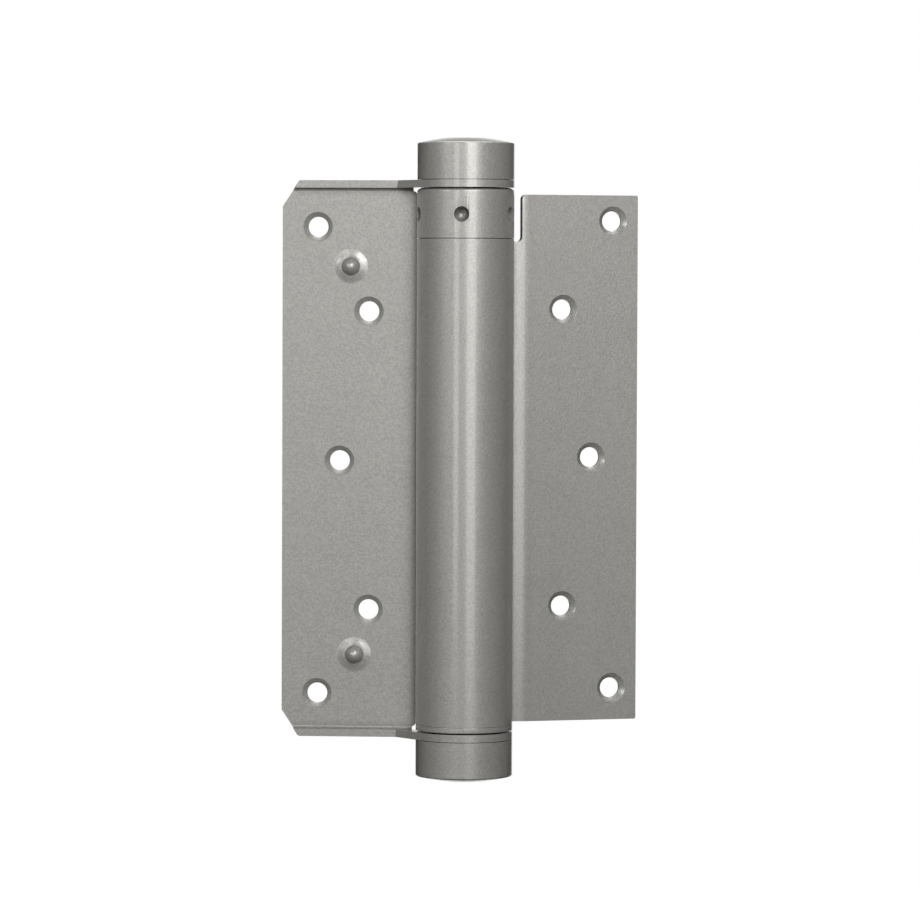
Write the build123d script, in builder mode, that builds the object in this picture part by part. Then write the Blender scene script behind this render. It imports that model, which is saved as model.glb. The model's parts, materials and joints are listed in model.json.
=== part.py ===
from build123d import *

import os
from math import acos, atan2, cos, degrees, radians, sin, sqrt, tan

# Single-action spring hinge, in millimetres.
# The origin is on the barrel's axis, at the underside of the bottom ear. +Z runs up the barrel, -Y is
# the side with the countersinks, and the frame leaf reaches out along -X.

# Leaves
SHEET = 2.0
HEIGHT = 149.7
FRAME_REACH = 49.6
DOOR_REACH = 49.7
SETBACK = 2.8
FOLD_BACK = 21.5

# Barrel, collar and caps
BARREL_RADIUS = 13.0
COLLAR_HEIGHT = 13.2
RING_THICKNESS = 1.55
CAP_SKIRT = 9.9
CAP_DOME = 1.35
CAP_WALL = 1.2
CAP_FLAT_RADIUS = 5.8
CAP_EDGE_ROUND = 0.4
CAP_SHOULDER_RADIUS = 60.0

# Gaps along the axis
RING_GAP = 0.35
COLLAR_TOP_GAP = 0.3
COLLAR_BOTTOM_GAP = 0.2
CAP_GAP = 0.15
DOOR_TOP_GAP = 1.6

# Frame leaf outline
PLATE_TO_BARREL = 0.3
RELIEF_RADIUS = 1.0
RELIEF_LAND = 0.02
CORNER_RUN = 4.6
CORNER_RISE = 7.0
EAR_LIP = 1.4
EAR_BEND_RADIUS = 0.9
EAR_FLARE_ANGLE = 49.0
EAR_END_ROUND = 1.0
EAR_NECK_ROUND = 2.5
EAR_FLARE_ROUND = 1.0

# Door leaf outline
DOOR_BEND_RADIUS = 13.1
SEAM_GAP = 0.15
NOTCH_REACH = 16.9
NOTCH_DROP = 0.6
NOTCH_ROUND = 1.35
NOTCH_TOP_ROUND = 1.2
DOOR_CORNER_ROUND = 0.5

# Screw holes
HOLE_RADIUS = 2.7
COUNTERSINK_RADIUS = 4.0
COUNTERSINK_ANGLE = 90.0
FRAME_OUTER_X = 40.05
FRAME_MIDDLE_X = 34.1
FRAME_INNER_X = 26.25
FRAME_OUTER_SPAN = 125.6
FRAME_INNER_SPAN = 80.3
FRAME_PATTERN_LIFT = -0.45
DOOR_OUTER_X = 42.6
DOOR_MIDDLE_X = 36.6
DOOR_INNER_X = 28.5
DOOR_OUTER_SPAN = 126.6
DOOR_INNER_SPAN = 80.2
DOOR_OUTER_LIFT = 0.95
DOOR_MIDDLE_LIFT = 0.35
DOOR_INNER_LIFT = 0.25

# Pips pressed out of the frame leaf, which the door leaf closes onto
PIP_X = 30.5
PIP_LEAN = 0.6
PIP_SPAN = 104.5
PIP_BASE_RADIUS = 2.5
PIP_TIP_RADIUS = 1.7
PIP_HEIGHT = 2.4
PIP_CROWN = 0.9
PIP_MOUND_RADIUS = 4.8
PIP_MOUND_HEIGHT = 0.45
PIP_DIMPLE_RADIUS = 1.3
PIP_DIMPLE_DEPTH = 3.2
PIP_DIMPLE_LEAD = 0.5

# Tommy-bar holes in the collar
SOCKET_COUNT = 5
SOCKET_BEARING = -90.5
SOCKET_RADIUS = 2.05
SOCKET_DEPTH = 3.8
SOCKET_TIP_ANGLE = 118.0
SOCKET_DROP = 0.3
COLLAR_ROUND = 0.8

# Spindle and what it carries
SPINDLE_RADIUS = 4.0
RUNNING_FIT = 0.05
PRESS_FIT = 0.02
BUSH_WALL = 1.1
SLEEVE_FIT = 0.2
SLEEVE_WALL = 2.4
WASHER_RADIUS = 9.0
WASHER_THICKNESS = 1.6
WASHER_FIT = 0.05
HEAD_RADIUS = 5.6
HEAD_HEIGHT = 1.4
HEAD_WASHER_RADIUS = 7.5
HEAD_WASHER_THICKNESS = 0.9
RETAINER_THICKNESS = 5.2
RETAINER_CHAMFER = 0.6

# Spring, plugs, keys and pin
WIRE = 3.0
WIRE_TO_BARREL = 0.6
SPRING_PITCH = 4.0
SPRING_TURNS = 19.0
LEG_LENGTH = 5.0
LEG_RELIEF = 0.1
LEG_FIT = 0.1
PLUG_FIT = 0.04
PLUG_END_GAP = 0.3
PLUG_SHANK_RADIUS = 7.2
RING_EDGE_ROUND = 0.2
KEY_RADIUS = 1.2
KEY_LENGTH = 9.0
PLUG_PIN_RADIUS = 1.5
PLUG_PIN_DEPTH = 6.0
PLUG_PIN_BEARING = 105.0
PLUG_PIN_HEIGHT = 8.0

# Reach of a cut that has to pass right through the hinge, from its middle
THROUGH = 2 * BARREL_RADIUS

# Levels along the axis that several pieces share
TOP_EAR = HEIGHT - SHEET
RING_BOTTOM = SHEET + RING_GAP
BARREL_BOTTOM = RING_BOTTOM + RING_THICKNESS
COLLAR_TOP = TOP_EAR - COLLAR_TOP_GAP
COLLAR_BOTTOM = COLLAR_TOP - COLLAR_HEIGHT
BARREL_TOP = COLLAR_BOTTOM - COLLAR_BOTTOM_GAP
DOOR_TOP = TOP_EAR - DOOR_TOP_GAP
MIDDLE = HEIGHT / 2
SOCKET_LEVEL = COLLAR_BOTTOM + COLLAR_HEIGHT / 2 - SOCKET_DROP

# Radii that several pieces share
BARREL_BORE = BARREL_RADIUS - SHEET
CAP_BORE = BARREL_RADIUS - CAP_WALL
PLUG_RADIUS = BARREL_BORE - PLUG_FIT
SPINDLE_HOLE = SPINDLE_RADIUS + RUNNING_FIT
BUSH_RADIUS = SPINDLE_HOLE + BUSH_WALL
COIL_RADIUS = BARREL_BORE - WIRE_TO_BARREL - WIRE / 2

# The spring is centred in the barrel, and the plugs come up to it from both ends
SPRING_LENGTH = SPRING_PITCH * SPRING_TURNS
SPRING_START = (BARREL_BOTTOM + BARREL_TOP - SPRING_LENGTH) / 2
SPRING_END = SPRING_START + SPRING_LENGTH
LOWER_PLUG_TOP = SPRING_START - WIRE / 2 - PLUG_END_GAP
UPPER_PLUG_BOTTOM = SPRING_END + WIRE / 2 + PLUG_END_GAP

# Thrust washers lie in a recess of what turns on them
LOWER_WASHER_BOTTOM = SHEET + WASHER_FIT
LOWER_WASHER_TOP = LOWER_WASHER_BOTTOM + WASHER_THICKNESS
UPPER_WASHER_TOP = TOP_EAR - WASHER_FIT
UPPER_WASHER_BOTTOM = UPPER_WASHER_TOP - WASHER_THICKNESS

# Planes: FRONT looks at the frame leaf's countersunk face, and the DOOR planes are turned with the
# door leaf, with x along the leaf
FRONT = Plane(origin=(0, SETBACK, 0), x_dir=(1, 0, 0), z_dir=(0, -1, 0))
DOOR_X = Vector(cos(radians(FOLD_BACK)), sin(radians(FOLD_BACK)), 0)
DOOR_OUT = Vector(DOOR_X.Y, -DOOR_X.X, 0)
DOOR_PLAN = Plane(origin=(0, 0, 0), x_dir=DOOR_X, z_dir=(0, 0, 1))
DOOR_FRONT = Plane(origin=DOOR_OUT * -SETBACK, x_dir=DOOR_X, z_dir=DOOR_OUT)
PIN_OUT = DOOR_X.rotate(Axis.Z, PLUG_PIN_BEARING)
PIN_PLANE = Plane(origin=(0, 0, BARREL_BOTTOM + PLUG_PIN_HEIGHT), z_dir=PIN_OUT)
SECTION = Plane.XZ

os.makedirs("parts", exist_ok=True)


def save(builder, name):
    """Label a finished piece and write its STEP file."""
    builder.part.label = name
    export_step(builder.part, f"parts/{name}.step")


def polar(radius, bearing):
    """The point at a radius and a bearing in degrees about the barrel's axis."""
    return (radius * cos(radians(bearing)), radius * sin(radians(bearing)))


def screw_holes(x, span, lift):
    """The centres of a pair of screw holes, one above the other, on a leaf's front plane."""
    return [(x, MIDDLE + lift - span / 2), (x, MIDDLE + lift + span / 2)]


# Frame leaf: a plate with an ear folded forwards at each end
plate_edge = BARREL_RADIUS + PLATE_TO_BARREL
bend_end = plate_edge + RELIEF_RADIUS
relief = RELIEF_RADIUS - RELIEF_LAND
plate_back = SETBACK + SHEET
bend_line = SETBACK - EAR_BEND_RADIUS
lip_front = SETBACK - EAR_LIP
ear_start = FRAME_REACH - CORNER_RUN
flare = radians(EAR_FLARE_ANGLE)
flare_touch = (-BARREL_RADIUS * sin(flare), -BARREL_RADIUS * cos(flare))
flare_start = flare_touch[0] - (lip_front - flare_touch[1]) / tan(flare)
ear_root = min(flare_start, -bend_end) - SHEET
neck_x = -sqrt(BARREL_RADIUS**2 - bend_line**2)

with BuildPart(FRONT) as frame_leaf:
    # the folded section, plate and both lips
    with BuildSketch(Plane.YZ.offset(-FRAME_REACH)):
        with BuildLine():
            FilletPolyline(
                (lip_front, 0),
                (plate_back, 0),
                (plate_back, HEIGHT),
                (lip_front, HEIGHT),
                (lip_front, TOP_EAR),
                (SETBACK, TOP_EAR),
                (SETBACK, SHEET),
                (lip_front, SHEET),
                radius=[
                    0,
                    EAR_BEND_RADIUS + SHEET,
                    EAR_BEND_RADIUS + SHEET,
                    0,
                    0,
                    EAR_BEND_RADIUS,
                    EAR_BEND_RADIUS,
                    0,
                ],
                close=True,
            )
        make_face()
    extrude(amount=FRAME_REACH - plate_edge)
    # the outline seen from the front: clipped outer corners, rounded relief beside the barrel
    with BuildSketch(FRONT):
        with BuildLine():
            FilletPolyline(
                (-FRAME_REACH, CORNER_RISE),
                (-ear_start, 0),
                (-bend_end, 0),
                (-bend_end, SHEET + EAR_BEND_RADIUS),
                (-plate_edge, SHEET + EAR_BEND_RADIUS),
                (-plate_edge, TOP_EAR - EAR_BEND_RADIUS),
                (-bend_end, TOP_EAR - EAR_BEND_RADIUS),
                (-bend_end, HEIGHT),
                (-ear_start, HEIGHT),
                (-FRAME_REACH, HEIGHT - CORNER_RISE),
                radius=[0, EAR_END_ROUND, 0, 0, relief, relief, 0, 0, EAR_END_ROUND, 0],
                close=True,
            )
        make_face()
    extrude(amount=THROUGH, both=True, mode=Mode.INTERSECT)
    # the ears, which widen to a ring about the barrel's axis
    for level in (0, TOP_EAR):
        with BuildSketch(Plane.XY.offset(level)) as ear:
            with BuildLine():
                FilletPolyline(
                    (ear_root, bend_line),
                    (ear_root, lip_front),
                    (flare_start, lip_front),
                    flare_touch,
                    (0, 0),
                    (neck_x, bend_line),
                    radius=[0, 0, EAR_FLARE_ROUND, 0, 0, 0],
                    close=True,
                )
            make_face()
            Circle(BARREL_RADIUS)
            fillet(ear.vertices().sort_by_distance((neck_x, bend_line))[0], EAR_NECK_ROUND)
            Circle(SPINDLE_HOLE, mode=Mode.SUBTRACT)
        extrude(amount=SHEET)
    # pips, raised from the front and hollow behind
    for side in (-1, 1):
        pip = Vector(-PIP_X - side * PIP_LEAN, SETBACK, MIDDLE + FRAME_PATTERN_LIFT + side * PIP_SPAN / 2)
        pip_plane = Plane(origin=pip, x_dir=(1, 0, 0), z_dir=(0, 0, 1))
        pip_axis = Axis(pip, (0, 1, 0))
        tip = -PIP_MOUND_HEIGHT - PIP_HEIGHT
        with BuildSketch(pip_plane):
            with BuildLine():
                crown = TangentArc((0, tip), (PIP_TIP_RADIUS, tip + PIP_CROWN), tangent=(1, 0))
                wall = Line(crown @ 1, (PIP_BASE_RADIUS, -PIP_MOUND_HEIGHT))
                mound = Spline(wall @ 1, (PIP_MOUND_RADIUS, 0), tangents=((1, 0), (1, 0)))
                Polyline(mound @ 1, (PIP_MOUND_RADIUS, SHEET / 2), (0, SHEET / 2), (0, tip))
            make_face()
        revolve(axis=pip_axis)
        with BuildSketch(pip_plane):
            with BuildLine():
                side_line = Polyline(
                    (0, SHEET),
                    (PIP_DIMPLE_RADIUS + PIP_DIMPLE_LEAD, SHEET),
                    (PIP_DIMPLE_RADIUS, SHEET - PIP_DIMPLE_LEAD),
                    (PIP_DIMPLE_RADIUS, SHEET + PIP_DIMPLE_RADIUS - PIP_DIMPLE_DEPTH),
                )
                CenterArc((0, SHEET + PIP_DIMPLE_RADIUS - PIP_DIMPLE_DEPTH), PIP_DIMPLE_RADIUS, 0, -90)
                Line((0, SHEET - PIP_DIMPLE_DEPTH), side_line @ 0)
            make_face()
        revolve(axis=pip_axis, mode=Mode.SUBTRACT)
    # screw holes
    with Locations(
        *screw_holes(-FRAME_OUTER_X, FRAME_OUTER_SPAN, FRAME_PATTERN_LIFT),
        *screw_holes(-FRAME_INNER_X, FRAME_INNER_SPAN, FRAME_PATTERN_LIFT),
        (-FRAME_MIDDLE_X, MIDDLE + FRAME_PATTERN_LIFT),
    ):
        CounterSinkHole(HOLE_RADIUS, COUNTERSINK_RADIUS, counter_sink_angle=COUNTERSINK_ANGLE)
save(frame_leaf, "frame_leaf")


# Door leaf: the barrel's roll, the reverse bend beside it and the plate are one strip of sheet
bend_front = DOOR_BEND_RADIUS + SHEET
bend_y = SETBACK + SHEET + DOOR_BEND_RADIUS
bend_distance = BARREL_RADIUS + DOOR_BEND_RADIUS
bend_x = sqrt(bend_distance**2 - bend_y**2)
join = degrees(atan2(bend_y, bend_x))
seam_reach = bend_front + SEAM_GAP
seam_cosine = (BARREL_RADIUS**2 + bend_distance**2 - seam_reach**2) / (2 * BARREL_RADIUS * bend_distance)
seam = join - degrees(acos(seam_cosine))
roll = 360 - (join - seam)
notch_bottom = BARREL_TOP - NOTCH_DROP
notch_start = BARREL_RADIUS + SEAM_GAP

with BuildPart(DOOR_FRONT) as door_leaf:
    with BuildSketch(DOOR_PLAN.offset(BARREL_BOTTOM)):
        with BuildLine():
            outside = CenterArc((0, 0), BARREL_RADIUS, seam, -roll)
            CenterArc((bend_x, bend_y), DOOR_BEND_RADIUS, 180 + join, 90 - join)
            Polyline(
                (bend_x, SETBACK + SHEET),
                (DOOR_REACH, SETBACK + SHEET),
                (DOOR_REACH, SETBACK),
                (bend_x, SETBACK),
            )
            CenterArc((bend_x, bend_y), bend_front, 270, join - 90)
            inside = CenterArc((0, 0), BARREL_BORE, join, roll)
            Line(inside @ 1, outside @ 0)
        make_face()
    extrude(amount=DOOR_TOP - BARREL_BOTTOM)
    # the outline seen from the front, with the room for the collar and the notch beside it
    with BuildSketch(DOOR_FRONT):
        with BuildLine():
            FilletPolyline(
                (-THROUGH, BARREL_BOTTOM),
                (DOOR_REACH, BARREL_BOTTOM),
                (DOOR_REACH, DOOR_TOP),
                (NOTCH_REACH, DOOR_TOP),
                (NOTCH_REACH, notch_bottom),
                (notch_start, notch_bottom),
                (notch_start, BARREL_TOP),
                (-THROUGH, BARREL_TOP),
                radius=[0, DOOR_CORNER_ROUND, DOOR_CORNER_ROUND, NOTCH_TOP_ROUND, NOTCH_ROUND, 0, 0, 0],
                close=True,
            )
        make_face()
    extrude(amount=THROUGH, both=True, mode=Mode.INTERSECT)
    with Locations(
        *screw_holes(DOOR_OUTER_X, DOOR_OUTER_SPAN, DOOR_OUTER_LIFT),
        *screw_holes(DOOR_INNER_X, DOOR_INNER_SPAN, DOOR_INNER_LIFT),
        (DOOR_MIDDLE_X, MIDDLE + DOOR_MIDDLE_LIFT),
    ):
        CounterSinkHole(HOLE_RADIUS, COUNTERSINK_RADIUS, counter_sink_angle=COUNTERSINK_ANGLE)
    # the lower plug's pin goes through the wall
    with BuildSketch(PIN_PLANE):
        Circle(PLUG_PIN_RADIUS + PRESS_FIT)
    extrude(amount=THROUGH, mode=Mode.SUBTRACT)
save(door_leaf, "door_leaf")


# Tension collar: a turned ring with blind tommy-bar holes, keyed to the upper plug
half_step = 180 / SOCKET_COUNT
socket_bearings = [SOCKET_BEARING + 2 * half_step * number for number in range(SOCKET_COUNT)]
key_bearings = [-90 - 3 * half_step, -90 + 3 * half_step]
socket_tip = SOCKET_RADIUS / tan(radians(SOCKET_TIP_ANGLE / 2))
key_centres = [polar(PLUG_SHANK_RADIUS, bearing) for bearing in key_bearings]

with BuildPart() as tension_collar:
    with BuildSketch(Plane.XY.offset(COLLAR_BOTTOM)):
        Circle(BARREL_RADIUS)
        Circle(PLUG_SHANK_RADIUS + PRESS_FIT, mode=Mode.SUBTRACT)
        with Locations(*key_centres):
            Circle(KEY_RADIUS + PRESS_FIT, mode=Mode.SUBTRACT)
    extrude(amount=COLLAR_HEIGHT)
    with BuildSketch(Plane.XY.offset(UPPER_WASHER_BOTTOM)):
        Circle(WASHER_RADIUS + RUNNING_FIT)
    extrude(amount=WASHER_THICKNESS, mode=Mode.SUBTRACT)
    for bearing in socket_bearings:
        outward = Vector(*polar(1, bearing), 0)
        floor = Vector(0, 0, SOCKET_LEVEL) + outward * (BARREL_RADIUS - SOCKET_DEPTH)
        with BuildSketch(Plane(origin=floor, z_dir=outward)):
            Circle(SOCKET_RADIUS)
        extrude(amount=BARREL_RADIUS, mode=Mode.SUBTRACT)
        with Locations(Plane(origin=floor - outward * socket_tip, z_dir=outward)):
            Cone(
                0,
                SOCKET_RADIUS,
                socket_tip,
                align=(Align.CENTER, Align.CENTER, Align.MIN),
                mode=Mode.SUBTRACT,
            )
    top_edges = tension_collar.edges().filter_by(GeomType.CIRCLE).group_by(Axis.Z)[-1]
    fillet(top_edges.sort_by(SortBy.RADIUS)[-1], COLLAR_ROUND)
save(tension_collar, "tension_collar")

with BuildPart() as collar_keys:
    with BuildSketch(Plane.XY.offset(COLLAR_BOTTOM)):
        with Locations(*key_centres):
            Circle(KEY_RADIUS)
    extrude(amount=KEY_LENGTH)
save(collar_keys, "collar_keys")


# Spring plugs: the lower one is fixed in the barrel and shows as a ring under it, the upper one turns
# with the collar. Each has a pocket for a leg of the spring.
spring_end_bearing = -360 * SPRING_TURNS
leg_start = polar(COIL_RADIUS, 0)
leg_end = polar(COIL_RADIUS, spring_end_bearing)
pocket_side = WIRE + 2 * LEG_FIT
pocket_depth = LEG_LENGTH + LEG_FIT

with BuildPart() as lower_spring_plug:
    with BuildSketch(SECTION):
        with BuildLine():
            Polyline(
                (BUSH_RADIUS + PRESS_FIT, LOWER_WASHER_TOP),
                (WASHER_RADIUS + RUNNING_FIT, LOWER_WASHER_TOP),
                (WASHER_RADIUS + RUNNING_FIT, RING_BOTTOM),
                (BARREL_RADIUS, RING_BOTTOM),
                (BARREL_RADIUS, BARREL_BOTTOM),
                (PLUG_RADIUS, BARREL_BOTTOM),
                (PLUG_RADIUS, LOWER_PLUG_TOP),
                (BUSH_RADIUS + PRESS_FIT, LOWER_PLUG_TOP),
                close=True,
            )
        make_face()
    revolve(axis=Axis.Z)
    with BuildSketch(Plane.XY.offset(LOWER_PLUG_TOP - pocket_depth)):
        with Locations(leg_start):
            Rectangle(pocket_side, pocket_side)
    extrude(amount=pocket_depth, mode=Mode.SUBTRACT)
    with BuildSketch(PIN_PLANE.offset(BARREL_RADIUS - PLUG_PIN_DEPTH - PRESS_FIT)):
        Circle(PLUG_PIN_RADIUS + PRESS_FIT)
    extrude(amount=PLUG_PIN_DEPTH, mode=Mode.SUBTRACT)
    bottom_edges = lower_spring_plug.edges().filter_by(GeomType.CIRCLE).group_by(Axis.Z)[0]
    fillet(bottom_edges.sort_by(SortBy.RADIUS)[-1], RING_EDGE_ROUND)
save(lower_spring_plug, "lower_spring_plug")

with BuildPart() as plug_pin:
    with BuildSketch(PIN_PLANE.offset(BARREL_RADIUS - PLUG_PIN_DEPTH)):
        Circle(PLUG_PIN_RADIUS)
    extrude(amount=PLUG_PIN_DEPTH)
save(plug_pin, "plug_pin")

with BuildPart() as upper_spring_plug:
    with BuildSketch(SECTION):
        with BuildLine():
            Polyline(
                (BUSH_RADIUS + PRESS_FIT, UPPER_PLUG_BOTTOM),
                (PLUG_RADIUS, UPPER_PLUG_BOTTOM),
                (PLUG_RADIUS, COLLAR_BOTTOM),
                (PLUG_SHANK_RADIUS, COLLAR_BOTTOM),
                (PLUG_SHANK_RADIUS, UPPER_WASHER_BOTTOM),
                (BUSH_RADIUS + PRESS_FIT, UPPER_WASHER_BOTTOM),
                close=True,
            )
        make_face()
    revolve(axis=Axis.Z)
    with BuildSketch(Plane.XY.offset(COLLAR_BOTTOM)):
        with Locations(*key_centres):
            Circle(KEY_RADIUS + PRESS_FIT)
    extrude(amount=COLLAR_HEIGHT, mode=Mode.SUBTRACT)
    with BuildSketch(Plane.XY.offset(UPPER_PLUG_BOTTOM)):
        with Locations(Location((*leg_end, 0), (0, 0, spring_end_bearing))):
            Rectangle(pocket_side, pocket_side)
    extrude(amount=pocket_depth, mode=Mode.SUBTRACT)
save(upper_spring_plug, "upper_spring_plug")


# Torsion spring: square wire, left-handed so that winding tightens it, with an axial leg at each end
# that stands in a plug's pocket
leg_side = WIRE - 2 * LEG_RELIEF
leg_height = WIRE / 2 + PLUG_END_GAP + LEG_LENGTH

with BuildPart() as torsion_spring:
    with BuildLine() as coil:
        Helix(SPRING_PITCH, SPRING_LENGTH, COIL_RADIUS, center=(0, 0, SPRING_START), lefthand=True)
    with BuildSketch(Plane(origin=coil.line @ 0, x_dir=(1, 0, 0), z_dir=coil.line % 0)):
        Rectangle(WIRE, WIRE)
    sweep(is_frenet=True)
    for level, bearing, direction in ((SPRING_START, 0, -1), (SPRING_END, spring_end_bearing, 1)):
        with BuildSketch(Plane.XY.offset(level)):
            with Locations(Location((*polar(COIL_RADIUS, bearing), 0), (0, 0, bearing))):
                Rectangle(leg_side, leg_side)
        extrude(amount=direction * leg_height)
save(torsion_spring, "torsion_spring")


# Plain rings on the spindle: (name, inner radius, outer radius, bottom, top)
retainer_end = HEIGHT + RETAINER_THICKNESS
rings = [
    ("lower_thrust_washer", SPINDLE_HOLE, WASHER_RADIUS, LOWER_WASHER_BOTTOM, LOWER_WASHER_TOP),
    ("upper_thrust_washer", SPINDLE_HOLE, WASHER_RADIUS, UPPER_WASHER_BOTTOM, UPPER_WASHER_TOP),
    ("lower_spindle_bush", SPINDLE_HOLE, BUSH_RADIUS, LOWER_WASHER_TOP, LOWER_PLUG_TOP),
    ("upper_spindle_bush", SPINDLE_HOLE, BUSH_RADIUS, UPPER_PLUG_BOTTOM, UPPER_WASHER_BOTTOM),
    (
        "spindle_sleeve",
        SPINDLE_RADIUS + SLEEVE_FIT,
        SPINDLE_RADIUS + SLEEVE_FIT + SLEEVE_WALL,
        LOWER_PLUG_TOP + SLEEVE_FIT,
        UPPER_PLUG_BOTTOM - SLEEVE_FIT,
    ),
    ("top_head_washer", SPINDLE_HOLE, HEAD_WASHER_RADIUS, retainer_end, retainer_end + HEAD_WASHER_THICKNESS),
    (
        "bottom_head_washer",
        SPINDLE_HOLE,
        HEAD_WASHER_RADIUS,
        HEIGHT - retainer_end - HEAD_WASHER_THICKNESS,
        HEIGHT - retainer_end,
    ),
]
for name, inner, outer, bottom, top in rings:
    with BuildPart() as ring:
        with BuildSketch(Plane.XY.offset(bottom)):
            Circle(outer)
            Circle(inner, mode=Mode.SUBTRACT)
        extrude(amount=top - bottom)
    save(ring, name)


# Spindle: a rod through both ears, headed over at both ends
rod_end = MIDDLE + RETAINER_THICKNESS + HEAD_WASHER_THICKNESS

with BuildPart() as spindle:
    with BuildSketch(Plane(origin=(0, 0, MIDDLE), x_dir=(1, 0, 0), z_dir=(0, -1, 0))):
        with BuildLine():
            shank = Polyline((SPINDLE_RADIUS, 0), (SPINDLE_RADIUS, rod_end), (HEAD_RADIUS, rod_end))
            head = TangentArc((0, rod_end + HEAD_HEIGHT), shank @ 1, tangent=(1, 0))
            mirror(about=Plane.XZ)
            Line((0, -rod_end - HEAD_HEIGHT), (0, rod_end + HEAD_HEIGHT))
        make_face()
    revolve(axis=Axis.Z)
save(spindle, "spindle")


# At each end of the spindle, a retainer disc and the drawn cap that is pressed over it
for end, level, up in (("top", HEIGHT, 1), ("bottom", 0, -1)):
    end_section = Plane(origin=(0, 0, level), x_dir=(1, 0, 0), z_dir=(0, -up, 0))
    with BuildPart() as retainer:
        with BuildSketch(end_section):
            with BuildLine():
                Polyline(
                    (SPINDLE_HOLE, 0),
                    (CAP_BORE - PRESS_FIT, 0),
                    (CAP_BORE - PRESS_FIT, RETAINER_THICKNESS - RETAINER_CHAMFER),
                    (CAP_BORE - PRESS_FIT - RETAINER_CHAMFER, RETAINER_THICKNESS),
                    (SPINDLE_HOLE, RETAINER_THICKNESS),
                    close=True,
                )
            make_face()
        revolve(axis=Axis.Z)
    save(retainer, f"{end}_retainer")

    cap_top = CAP_SKIRT + CAP_DOME
    with BuildPart() as cap:
        with BuildSketch(end_section) as cap_half:
            with BuildLine():
                skirt = Polyline((0, CAP_GAP), (BARREL_RADIUS, CAP_GAP), (BARREL_RADIUS, CAP_SKIRT))
                shoulder = RadiusArc(skirt @ 1, (CAP_FLAT_RADIUS, cap_top), -CAP_SHOULDER_RADIUS)
                Polyline(shoulder @ 1, (0, cap_top), skirt @ 0)
            make_face()
            fillet(cap_half.vertices().sort_by_distance((BARREL_RADIUS, CAP_SKIRT))[0], CAP_EDGE_ROUND)
        revolve(axis=Axis.Z)
        mouth = cap.faces().sort_by(Axis.Z)[0 if up > 0 else -1]
        offset(amount=-CAP_WALL, openings=mouth)
    save(cap, f"{end}_cap")
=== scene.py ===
"""Looks of the spring hinge: silver-grey metallic paint outside, bare and oiled metal inside."""

import json
from math import cos, radians, sin

import bmesh
import bpy
from mathutils import Matrix, Vector


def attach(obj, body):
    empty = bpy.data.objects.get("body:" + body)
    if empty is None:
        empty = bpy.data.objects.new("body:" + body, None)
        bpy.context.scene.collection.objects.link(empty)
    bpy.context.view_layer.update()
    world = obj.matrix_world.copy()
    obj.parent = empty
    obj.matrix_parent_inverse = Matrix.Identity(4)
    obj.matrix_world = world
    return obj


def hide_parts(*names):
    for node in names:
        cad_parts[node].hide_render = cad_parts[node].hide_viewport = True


MM = 0.001
WHITE = (1, 1, 1, 1)

# Camera, in metres and degrees. The azimuth turns it towards +X, round the barrel's axis.
CAMERA_DISTANCE = 1.275
CAMERA_AZIMUTH = 4.37
CAMERA_HEIGHT = 0.1206
CAMERA_PITCH = -2.057
CAMERA_YAW = 0.059
CAMERA_ROLL = 0.212
CAMERA_LENS = 186.2
SENSOR_WIDTH = 36.0

# Studio lamps: azimuth and elevation in degrees, distance, width and height in metres, watts.
# All of them face the middle of the hinge.
LIGHTS = {
    "left_box": (-17, 15, 1.5, 0.3, 1.1, 3.8),
    "right_box": (18.5, 14, 1.5, 0.6, 1.1, 7.0),
    "left_wide": (-40, 17, 1.7, 0.5, 0.6, 5.8),
    "near_right": (20, 28, 0.46, 0.25, 0.25, 1.1),
    "back_high": (183, 66, 1.5, 1.0, 0.6, 20.0),
}
HINGE_MIDDLE = Vector((0, 0, 75 * MM))

# World: the light that it gives, its brightness in reflections from in front, and how far
# back, as the Y of a direction, the white backdrop begins and is full
ROOM_LIGHT = 0.01
ROOM_SEEN_IN_FRONT = 0.025
BACKDROP_EDGE = (0.92, 0.99)

# Floor, in metres. The glow is added to what it reflects, so that it is seen as white.
FLOOR_LEVEL = -0.6
FLOOR_FRONT = 1.6
FLOOR_BACK = 8.0
FLOOR_HALF_WIDTH = 1.2
FLOOR_COLOUR = (0.8, 0.8, 0.8, 1.0)
FLOOR_GLOW = 1.0

# Painted highlight and lower roughness on edges, and painted shade in crevices, widths in
# millimetres. The match is the cosine between the rounded and the true normal at which an edge
# counts in full.
EDGE_MASK_WIDTH = 0.35
EDGE_MASK_SAMPLES = 4
EDGE_MATCH = 0.85
CREVICE_WIDTH = 2.5
CREVICE_SAMPLES = 6
CREVICE_OPEN = (0.2, 0.98)
CREVICE_SHADE = 0.1

# Noises: the size of their lumps in millimetres, and their detail
NOISE_RANGE = (0.3, 0.7)
PAINT_FLAKES = (0.52, 1.5)
PAINT_CLOUDS = (9.0, 3.0)
PAINT_MATT_SPOTS = (1.6, 2.0)
PAINT_PEEL = (1.3, 1.0)
PAINT_LATHE = (0.5, 2.0)
METAL_LATHE = (0.35, 3.0)
METAL_SMEARS = (4.0, 3.0)
PLASTIC_GRAIN = (0.3, 2.0)
PLASTIC_CLOUDS = (6.0, 2.0)
PAINT_LATHE_STRETCH = (0.02, 0.02, 1.0)
METAL_LATHE_STRETCH = (0.03, 0.03, 1.0)

# Paint: linear colour, shares of each noise and of the edges (a painted highlight), and depths in
# millimetres
PAINT_COLOUR = (0.352, 0.344, 0.322)
FLAKE_CONTRAST = 0.12
CLOUD_CONTRAST = 0.02
EDGE_HIGHLIGHT_SHARE = 0.05
PAINT_ROUGHNESS = 0.41
MATT_SPOT_ROUGHNESS = 0.03
EDGE_GLOSS = 0.05
PEEL_DEPTH = 0.0016
FLAKE_DEPTH = 0.008
PAINT_METALLIC = 0.27
COAT_WEIGHT = 0.94
COAT_ROUGHNESS = 0.15

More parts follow.
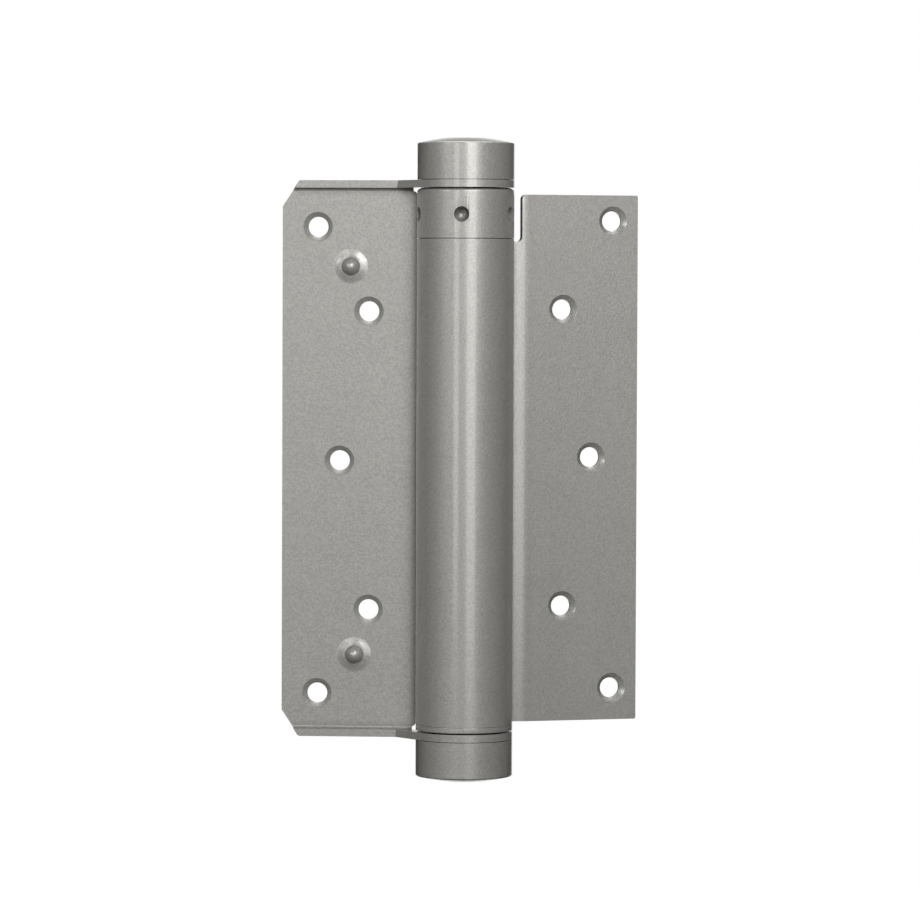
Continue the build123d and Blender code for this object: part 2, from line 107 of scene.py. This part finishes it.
# Metal and plastic: shares of each noise in the brightness and in the roughness
METAL_BRIGHTNESS = {"lathe": 0.04, "smears": 0.06}
METAL_ROUGHNESS = {"lathe": 0.03, "smears": 0.06}
PLASTIC_BRIGHTNESS = {"grain": 0.03, "clouds": 0.04}
PLASTIC_ROUGHNESS = {"grain": 0.04}
PLASTIC_GRAIN_DEPTH = 0.003

# Paints: the depth of the lathe marks under them in millimetres
PAINTS = {
    "leaf_paint": 0.0,
    "turned_paint": 0.002,
    "cap_paint": 0.001,
}
# Bare metals: linear colour, roughness, depth of the lathe or drawing marks in millimetres
METALS = {
    "bright_steel": ((0.56, 0.55, 0.53), 0.25, 0.001),
    "turned_steel": ((0.42, 0.41, 0.40), 0.36, 0.003),
    "spring_steel": ((0.09, 0.088, 0.085), 0.34, 0.001),
    "bearing_brass": ((0.62, 0.43, 0.17), 0.3, 0.002),
}
# Plastics: linear colour, roughness
PLASTICS = {
    "bearing_plastic": ((0.66, 0.64, 0.58), 0.45),
    "sleeve_plastic": ((0.02, 0.02, 0.021), 0.5),
}

# Cleaning of the meshes: flat faces are made whole, and edges above the sharp angle rounded
JOIN_DISTANCE = 0.03
FLAT_ANGLE = radians(0.3)
SHARP_ANGLE = radians(24)

# Rounding of the edges, in millimetres. It is held down where a piece has short edges.
EDGE_ROUND = {
    "frame_leaf": 0.12,
    "door_leaf": 0.1,
    "tension_collar": 0.08,
    "lower_spring_plug": 0.0,
    "top_cap": 0.1,
    "bottom_cap": 0.1,
    "plug_pin": 0.2,
}
ROUND_SEGMENTS = 3
ROLLED_EDGE_ROUND = 0.5
COUNTERSINK_ROUND = 0.1
FLANGE_ROUND = 0.22

# What the edges and faces are told by, in millimetres, square millimetres and radians. An
# edge or face is upright or level where its direction's Z is above the share given here.
SHEET_AREA = 60
COUNTERSINK_ANGLE = radians(60)
PLATE_EDGE = 13.3
PLATE_EDGE_MATCH = 0.1
UPRIGHT_EDGE = 0.9
LEVEL_FACE = 0.99
LEVEL_MATCH = 0.01
BARREL_TOP = 134.0
COLLAR_TOP = 147.4
FLANGE_FOOT = 2.35
FLANGE_TOP = 3.9
FLANGE_RIM = 12.9

# Ridges that narrow the joints between turning pieces behind their mouths, in millimetres
RIDGE_INSET = 0.35
RIDGE_HEIGHT = 0.14


def make_camera():
    """The photograph's view: level with the upper part of the hinge, a little to its right."""
    azimuth = radians(CAMERA_AZIMUTH)
    camera = bpy.data.objects.new("camera", bpy.data.cameras.new("camera"))
    bpy.context.scene.collection.objects.link(camera)
    camera.data.lens = CAMERA_LENS
    camera.data.sensor_width = SENSOR_WIDTH
    x = CAMERA_DISTANCE * sin(azimuth)
    y = -CAMERA_DISTANCE * cos(azimuth)
    camera.location = (x, y, CAMERA_HEIGHT)
    camera.rotation_mode = "YXZ"
    aim = Matrix.Rotation(azimuth + radians(CAMERA_YAW), 4, "Z")
    aim @= Matrix.Rotation(radians(90 + CAMERA_PITCH), 4, "X")
    aim @= Matrix.Rotation(radians(CAMERA_ROLL), 4, "Z")
    camera.rotation_euler = aim.to_euler("YXZ")
    bpy.context.scene.camera = camera


class Nodes:
    """A short way to build the nodes of a material or of the world."""

    def __init__(self, owner, output="ShaderNodeOutputMaterial"):
        owner.use_nodes = True
        self.tree = owner.node_tree
        self.tree.nodes.clear()
        self.output = self.add(output)
        self.place = None

    def add(self, kind, *inputs, **settings):
        """Add a node. The inputs are values or sockets in the node's own order, None to skip."""
        node = self.tree.nodes.new(kind)
        for key, value in settings.items():
            setattr(node, key, value)
        for number, value in enumerate(inputs):
            self.set(node.inputs[number], value)
        return node

    def set(self, socket, value):
        """Give an input a value, or link a socket to it."""
        if isinstance(value, bpy.types.NodeSocket):
            self.tree.links.new(value, socket)
        elif value is not None:
            socket.default_value = value

    def show(self, socket):
        """Link what the material or the world looks like to its output."""
        self.tree.links.new(socket, self.output.inputs[0])

    def math(self, operation, first, second=None, third=None):
        """The result of one step of arithmetic."""
        return self.add("ShaderNodeMath", first, second, third, operation=operation).outputs[0]

    def position(self):
        """Object coordinates, in metres."""
        if self.place is None:
            self.place = self.add("ShaderNodeTexCoord").outputs["Object"]
        return self.place

    def noise(self, size, detail, stretch=(1, 1, 1)):
        """Noise from -1 to 1, more or less, with lumps of that size in millimetres."""
        place = self.add("ShaderNodeMapping", self.position(), None, None, stretch).outputs[0]
        texture = self.add("ShaderNodeTexNoise", place)
        texture.inputs["Scale"].default_value = 1 / (size * MM)
        texture.inputs["Detail"].default_value = detail
        spread = self.add("ShaderNodeMapRange", texture.outputs[0], *NOISE_RANGE, -1.0, 1.0)
        return spread.outputs[0]

    def sum(self, *terms):
        """The sum of pairs of a socket and its share, and of plain numbers."""
        total = 0.0
        for term in terms:
            if isinstance(term, tuple):
                total = self.math("MULTIPLY_ADD", term[0], term[1], total)
            else:
                total = self.math("ADD", total, term)
        return total

    def tinted(self, colour, brightness):
        """The colour times a brightness socket."""
        inputs = (colour, None, None, brightness)
        return self.add("ShaderNodeVectorMath", *inputs, operation="SCALE").outputs[0]

    def bump(self, height, depth, normal=None):
        """A bump whose full height is the depth, in millimetres."""
        node = self.add("ShaderNodeBump")
        node.inputs["Distance"].default_value = depth * MM
        self.set(node.inputs["Height"], height)
        self.set(node.inputs["Normal"], normal)
        return node.outputs[0]

    def edges(self, width):
        """A mask that is 1 on edges and 0 beside them, a width in millimetres."""
        rounded = self.add("ShaderNodeBevel", width * MM, samples=EDGE_MASK_SAMPLES).outputs[0]
        straight = self.add("ShaderNodeNewGeometry").outputs["True Normal"]
        dot = self.add("ShaderNodeVectorMath", rounded, straight, operation="DOT_PRODUCT")
        match = dot.outputs["Value"]
        return self.add("ShaderNodeMapRange", match, 1.0, EDGE_MATCH, 0.0, 1.0).outputs[0]

    def crevices(self, brightness):
        """The brightness, lower where another surface is close: painted shade in crevices."""
        openness = self.add("ShaderNodeAmbientOcclusion", samples=CREVICE_SAMPLES)
        openness.inputs["Distance"].default_value = CREVICE_WIDTH * MM
        limits = (*CREVICE_OPEN, CREVICE_SHADE, 1.0)
        shade = self.add("ShaderNodeMapRange", openness.outputs["AO"], *limits)
        return self.math("MULTIPLY", brightness, shade.outputs[0])

    def surface(self, colour, roughness, normal, **constants):
        """The principled shader. Constants such as Metallic are set on its own sockets."""
        shader = self.add("ShaderNodeBsdfPrincipled")
        self.set(shader.inputs["Base Color"], colour)
        self.set(shader.inputs["Roughness"], roughness)
        self.set(shader.inputs["Normal"], normal)
        for key, value in constants.items():
            shader.inputs[key.replace("_", " ")].default_value = value
        self.show(shader.outputs[0])


def paint(name, lathe_depth):
    """Silver-grey paint with fine metal flakes, on plain sheet or over lathe marks."""
    material = bpy.data.materials.new(name)
    n = Nodes(material)
    flakes = n.noise(*PAINT_FLAKES)
    clouds = n.noise(*PAINT_CLOUDS)
    # The edges get a painted highlight in the colour, and a little less roughness.
    edge_mask = n.edges(EDGE_MASK_WIDTH)
    shares = ((flakes, FLAKE_CONTRAST), (clouds, CLOUD_CONTRAST), (edge_mask, EDGE_HIGHLIGHT_SHARE))
    # Painted shade: the colour is darker in crevices and joints, where another surface is close.
    bright = n.crevices(n.sum(*shares, 1.0))
    matt_spots = n.noise(*PAINT_MATT_SPOTS)
    rough = n.sum((matt_spots, MATT_SPOT_ROUGHNESS), (edge_mask, -EDGE_GLOSS), PAINT_ROUGHNESS)
    peel = n.bump(n.noise(*PAINT_PEEL), PEEL_DEPTH)
    grain = n.bump(flakes, FLAKE_DEPTH, peel)
    if lathe_depth:
        lathe = n.noise(*PAINT_LATHE, stretch=PAINT_LATHE_STRETCH)
        grain = n.bump(lathe, lathe_depth, grain)
    n.surface(
        n.tinted(PAINT_COLOUR, bright),
        rough,
        grain,
        Metallic=PAINT_METALLIC,
        Coat_Weight=COAT_WEIGHT,
        Coat_Roughness=COAT_ROUGHNESS,
    )
    return material


def metal(name, colour, roughness, lathe_depth):
    """Bare metal with lathe or drawing marks across the hinge's axis."""
    material = bpy.data.materials.new(name)
    n = Nodes(material)
    lathe = n.noise(*METAL_LATHE, stretch=METAL_LATHE_STRETCH)
    smears = n.noise(*METAL_SMEARS)
    share = METAL_BRIGHTNESS
    # Painted shade: the metal is darker in crevices and joints, where another surface is close.
    bright = n.crevices(n.sum((lathe, share["lathe"]), (smears, share["smears"]), 1.0))
    share = METAL_ROUGHNESS
    rough = n.sum((smears, share["smears"]), (lathe, share["lathe"]), roughness)
    n.surface(n.tinted(colour, bright), rough, n.bump(lathe, lathe_depth), Metallic=1.0)
    return material


def plastic(name, colour, roughness):
    """Moulded or extruded plastic with a fine matt grain."""
    material = bpy.data.materials.new(name)
    n = Nodes(material)
    grain = n.noise(*PLASTIC_GRAIN)
    clouds = n.noise(*PLASTIC_CLOUDS)
    share = PLASTIC_BRIGHTNESS
    bright = n.sum((grain, share["grain"]), (clouds, share["clouds"]), 1.0)
    rough = n.sum((grain, PLASTIC_ROUGHNESS["grain"]), roughness)
    n.surface(n.tinted(colour, bright), rough, n.bump(grain, PLASTIC_GRAIN_DEPTH))
    return material


def make_world():
    """A white backdrop, also seen in reflections from behind the hinge, and a dim room in front."""
    world = bpy.data.worlds.new("studio")
    bpy.context.scene.world = world
    n = Nodes(world, "ShaderNodeOutputWorld")
    direction = n.add("ShaderNodeTexCoord").outputs["Generated"]
    behind = n.add("ShaderNodeSeparateXYZ", direction).outputs["Y"]
    limits = (*BACKDROP_EDGE, ROOM_SEEN_IN_FRONT, 1.0)
    room = n.add("ShaderNodeMapRange", behind, *limits).outputs[0]
    path = n.add("ShaderNodeLightPath").outputs
    mirrored = n.math("MAXIMUM", path["Is Glossy Ray"], path["Is Transmission Ray"])
    lit = n.add("ShaderNodeBackground", WHITE, ROOM_LIGHT).outputs[0]
    reflected = n.add("ShaderNodeBackground", WHITE, room).outputs[0]
    white = n.add("ShaderNodeBackground", WHITE, 1.0).outputs[0]
    rays = n.add("ShaderNodeMixShader", mirrored, lit, reflected).outputs[0]
    n.show(n.add("ShaderNodeMixShader", path["Is Camera Ray"], rays, white).outputs[0])


def make_floor():
    """A white floor far below the hinge and behind it."""
    material = bpy.data.materials.new("floor")
    n = Nodes(material)
    path = n.add("ShaderNodeLightPath").outputs
    seen = n.math("MAXIMUM", path["Is Camera Ray"], path["Is Glossy Ray"])
    seen = n.math("MAXIMUM", seen, path["Is Transmission Ray"])
    matt = n.add("ShaderNodeBsdfDiffuse", FLOOR_COLOUR).outputs[0]
    glow = n.add("ShaderNodeEmission", WHITE, FLOOR_GLOW).outputs[0]
    white = n.add("ShaderNodeAddShader", matt, glow).outputs[0]
    n.show(n.add("ShaderNodeMixShader", seen, matt, white).outputs[0])
    mesh = bpy.data.meshes.new("floor")
    left, right = -FLOOR_HALF_WIDTH, FLOOR_HALF_WIDTH
    corners = [
        (left, FLOOR_FRONT, FLOOR_LEVEL),
        (right, FLOOR_FRONT, FLOOR_LEVEL),
        (right, FLOOR_BACK, FLOOR_LEVEL),
        (left, FLOOR_BACK, FLOOR_LEVEL),
    ]
    mesh.from_pydata(corners, [], [(0, 1, 2, 3)])
    mesh.materials.append(material)
    floor = bpy.data.objects.new("floor", mesh)
    bpy.context.scene.collection.objects.link(floor)


def make_light(name, azimuth, elevation, distance, width, tall, power):
    """A softbox that faces the middle of the hinge."""
    lamp = bpy.data.lights.new(name, "AREA")
    lamp.shape = "RECTANGLE"
    lamp.size = width
    lamp.size_y = tall
    lamp.energy = power
    light = bpy.data.objects.new(name, lamp)
    a = radians(azimuth)
    e = radians(elevation)
    direction = Vector((sin(a) * cos(e), -cos(a) * cos(e), sin(e)))
    light.location = HINGE_MIDDLE + distance * direction
    light.rotation_mode = "QUATERNION"
    light.rotation_quaternion = (HINGE_MIDDLE - light.location).to_track_quat("-Z", "Y")
    bpy.context.scene.collection.objects.link(light)


def clean_mesh(node):
    """A copy of a node's mesh with its vertices joined and its flat faces whole."""
    bm = bmesh.new()
    bm.from_mesh(frame["nodes"][node].data)
    bmesh.ops.remove_doubles(bm, verts=bm.verts, dist=JOIN_DISTANCE * MM)
    bmesh.ops.dissolve_limit(bm, angle_limit=FLAT_ANGLE, verts=bm.verts, edges=bm.edges)
    return bm


def edge_round(node, edge):
    """The radius that an edge is rounded to, in millimetres."""
    start, end = (vert.co for vert in edge.verts)
    middle = (start + end) / (2 * MM)
    sheet = max(face.calc_area() for face in edge.link_faces) > SHEET_AREA * MM**2
    if sheet and edge.calc_face_angle() < COUNTERSINK_ANGLE:
        return COUNTERSINK_ROUND
    on_flange = node == "lower_spring_plug" and abs(middle.z - FLANGE_TOP) < LEVEL_MATCH
    if on_flange and middle.xy.length > FLANGE_RIM:
        return FLANGE_ROUND
    beside_barrel = node == "frame_leaf" and abs(middle.x + PLATE_EDGE) < PLATE_EDGE_MATCH
    if beside_barrel and sheet and abs((end - start).normalized().z) > UPRIGHT_EDGE:
        return ROLLED_EDGE_ROUND
    return EDGE_ROUND[node]


def raise_ridge(bm, level):
    """Raise the middle of the end faces at a level, so that the joint narrows behind its mouth."""
    ends = [
        face
        for face in bm.faces
        if abs(face.normal.z) > LEVEL_FACE
        and abs(face.calc_center_median().z - level * MM) < LEVEL_MATCH * MM
    ]
    sizes = {"thickness": RIDGE_INSET * MM, "depth": RIDGE_HEIGHT * MM}
    bmesh.ops.inset_region(bm, faces=ends, use_even_offset=True, **sizes)


def dress(node, name, ridge=None):
    """A piece that stands for a node, with its edges rounded and a ridge at a level, if any."""
    bm = clean_mesh(node)
    share = bm.edges.layers.float.new("bevel_weight_edge")
    for edge in bm.edges:
        if len(edge.link_faces) == 2 and edge.calc_face_angle() > SHARP_ANGLE:
            edge[share] = edge_round(node, edge) / ROLLED_EDGE_ROUND
    if ridge is not None:
        raise_ridge(bm, ridge)
    for face in bm.faces:
        face.smooth = True
    mesh = bpy.data.meshes.new(name)
    bm.to_mesh(mesh)
    bm.free()
    piece = bpy.data.objects.new(name, mesh)
    bpy.context.scene.collection.objects.link(piece)
    bevel = piece.modifiers.new("rounded edges", "BEVEL")
    bevel.limit_method = "WEIGHT"
    bevel.width = ROLLED_EDGE_ROUND * MM
    bevel.segments = ROUND_SEGMENTS
    # The plug's short edges would hold down the rounding of its flange's rim.
    bevel.use_clamp_overlap = node != "lower_spring_plug"
    even = piece.modifiers.new("shading by the larger faces", "WEIGHTED_NORMAL")
    even.mode = "FACE_AREA"
    even.keep_sharp = False
    mesh.materials.append(materials[slots[node]])
    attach(piece, bodies[node])
    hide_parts(node)


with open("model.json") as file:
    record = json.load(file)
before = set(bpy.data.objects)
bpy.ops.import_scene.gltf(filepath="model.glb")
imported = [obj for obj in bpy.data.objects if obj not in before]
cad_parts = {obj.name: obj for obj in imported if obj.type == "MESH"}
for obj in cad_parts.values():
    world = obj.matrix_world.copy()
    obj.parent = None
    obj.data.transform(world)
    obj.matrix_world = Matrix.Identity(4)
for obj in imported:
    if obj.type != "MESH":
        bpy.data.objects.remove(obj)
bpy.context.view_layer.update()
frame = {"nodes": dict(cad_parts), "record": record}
record = frame["record"]
slots = {part["node"]: part["material_slot"] for part in record["subparts"]}
bodies = {node: body for body, nodes in record["behaviour"]["bodies"].items() for node in nodes}

make_camera()
make_world()
make_floor()
for light, values in LIGHTS.items():
    make_light(light, *values)

materials = {name: paint(name, depth) for name, depth in PAINTS.items()}
materials |= {name: metal(name, *values) for name, values in METALS.items()}
materials |= {name: plastic(name, *values) for name, values in PLASTICS.items()}
for node, cad in frame["nodes"].items():
    cad.data.materials.clear()
    cad.data.materials.append(materials[slots[node]])

dress("frame_leaf", "frame_leaf_sheet")
dress("door_leaf", "door_leaf_sheet", BARREL_TOP)
dress("tension_collar", "tension_collar_ring", COLLAR_TOP)
dress("lower_spring_plug", "lower_plug_flange", FLANGE_FOOT)
dress("top_cap", "top_cap_cup")
dress("bottom_cap", "bottom_cap_cup")
dress("plug_pin", "plug_pin_end")

bpy.context.scene.view_settings.view_transform = "Standard"
